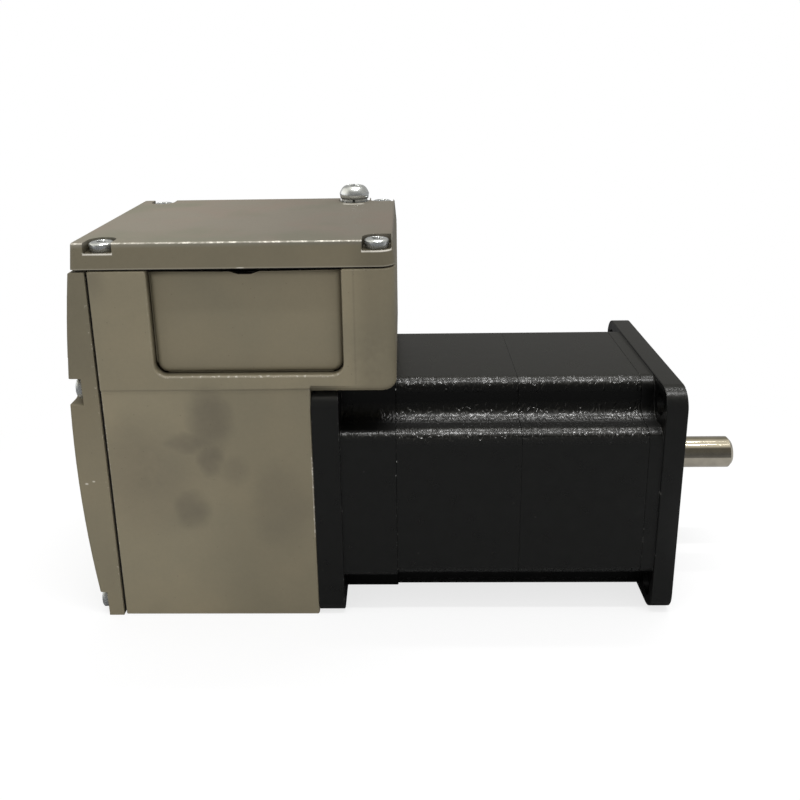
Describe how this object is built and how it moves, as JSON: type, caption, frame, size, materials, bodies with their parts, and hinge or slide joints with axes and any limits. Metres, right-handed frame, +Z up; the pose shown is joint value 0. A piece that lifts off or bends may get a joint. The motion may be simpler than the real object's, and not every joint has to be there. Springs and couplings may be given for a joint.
{
  "type": "integrated stepper motor",
  "caption": "Square black stepper motor with its drive in a cast L-shaped housing behind and above it, a screwed connector lid, a bowed rear cover and a plain output shaft.",
  "frame": {"origin": "on the shaft axis in the plane of the mounting flange's front face", "axes": "+X out along the output shaft, +Y to the left side seen from behind the drive, +Z up to the lid"},
  "size_m": [0.1606, 0.0572, 0.0964],
  "materials": {
    "housing_casting": "as-cast, lightly stained",
    "lid_casting": "as-cast, lightly stained",
    "cover_casting": "as-cast",
    "insert_casting": "smooth cast",
    "bell_black": "satin black paint",
    "stack_black": "satin black paint with a wrinkled skin",
    "shaft_steel": "ground",
    "zinc_screws": "bright zinc",
    "plain_steel": "plain",
    "rotor_steel": "ground laminations",
    "magnet_nickel": "nickel plated",
    "bearing_steel": "polished",
    "bearing_cages": "pressed",
    "winding_copper": "varnished copper",
    "insulation": "moulded",
    "gasket_rubber": "dull",
    "lead_sleeve": "sleeved",
    "circuit_board": "solder mask",
    "black_plastic": "moulded",
    "capacitor_can": "drawn can",
    "pin_brass": "plated",
    "switch_blue": "moulded",
    "slider_white": "moulded"
  },
  "bodies": {
    "casing": {"electronics_housing": "housing_casting", "connector_lid": "lid_casting", "rear_cover": "cover_casting", "left_insert": "insert_casting", "right_insert": "insert_casting", "front_end_bell": "bell_black", "rear_end_bell": "bell_black", "stator_stack_front": "stack_black", "stator_stack_rear": "stack_black", "lid_screws": "zinc_screws", "rear_cover_screws": "zinc_screws", "earth_screw": "zinc_screws", "earth_spring_washer": "zinc_screws", "earth_tooth_washer": "zinc_screws", "tie_bolts": "plain_steel", "housing_screws": "plain_steel", "board_screws": "plain_steel", "preload_washer": "plain_steel", "board_spacers": "plain_steel", "front_bearing_outer_ring": "bearing_steel", "rear_bearing_outer_ring": "bearing_steel", "stator_coils": "winding_copper", "stator_insulators": "insulation", "lid_gasket": "gasket_rubber", "cover_gasket": "gasket_rubber", "insert_seals": "gasket_rubber", "lead_grommet": "gasket_rubber", "phase_leads": "lead_sleeve", "power_board": "circuit_board", "control_board": "circuit_board", "connector_board": "circuit_board", "power_transistors": "black_plastic", "position_sensor": "black_plastic", "controller_chip": "black_plastic", "board_link": "black_plastic", "supply_connector": "black_plastic", "signal_connector": "black_plastic", "bus_connector": "black_plastic", "link_capacitors": "capacitor_can", "connector_pins": "pin_brass", "switch_body": "switch_blue"},
    "rotor": {"rotor_shaft": "shaft_steel", "rotor_stack_1": "rotor_steel", "rotor_stack_2": "rotor_steel", "rotor_stack_3": "rotor_steel", "rotor_stack_4": "rotor_steel", "rotor_magnets": "magnet_nickel", "front_bearing_inner_ring": "bearing_steel", "rear_bearing_inner_ring": "bearing_steel", "magnet_hub": "plain_steel", "position_magnet": "magnet_nickel"},
    "front_ball_set": {"front_bearing_balls": "bearing_steel", "front_bearing_cage": "bearing_cages"},
    "rear_ball_set": {"rear_bearing_balls": "bearing_steel", "rear_bearing_cage": "bearing_cages"},
    "slider_1": {"switch_slider_1": "slider_white"},
    "slider_2": {"switch_slider_2": "slider_white"},
    "slider_3": {"switch_slider_3": "slider_white"},
    "slider_4": {"switch_slider_4": "slider_white"}
  },
  "joints": [
    {"name": "shaft_spin", "type": "hinge", "parent": "casing", "child": "rotor", "pos_m": [0, 0, 0], "axis": [1, 0, 0], "continuous": true},
    {"name": "front_cage_spin", "type": "hinge", "parent": "casing", "child": "front_ball_set", "pos_m": [0, 0, 0], "axis": [1, 0, 0], "continuous": true},
    {"name": "rear_cage_spin", "type": "hinge", "parent": "casing", "child": "rear_ball_set", "pos_m": [0, 0, 0], "axis": [1, 0, 0], "continuous": true},
    {"name": "switch_slide_1", "type": "slide", "parent": "casing", "child": "slider_1", "axis": [0, 1, 0], "range_m": [0, 0.0012]},
    {"name": "switch_slide_2", "type": "slide", "parent": "casing", "child": "slider_2", "axis": [0, 1, 0], "range_m": [0, 0.0012]},
    {"name": "switch_slide_3", "type": "slide", "parent": "casing", "child": "slider_3", "axis": [0, 1, 0], "range_m": [0, 0.0012]},
    {"name": "switch_slide_4", "type": "slide", "parent": "casing", "child": "slider_4", "axis": [0, 1, 0], "range_m": [0, 0.0012]}
  ],
  "couplings": [
    {"joint": "front_cage_spin", "follows": "shaft_spin", "ratio": 0.3677},
    {"joint": "rear_cage_spin", "follows": "shaft_spin", "ratio": 0.3677}
  ]
}
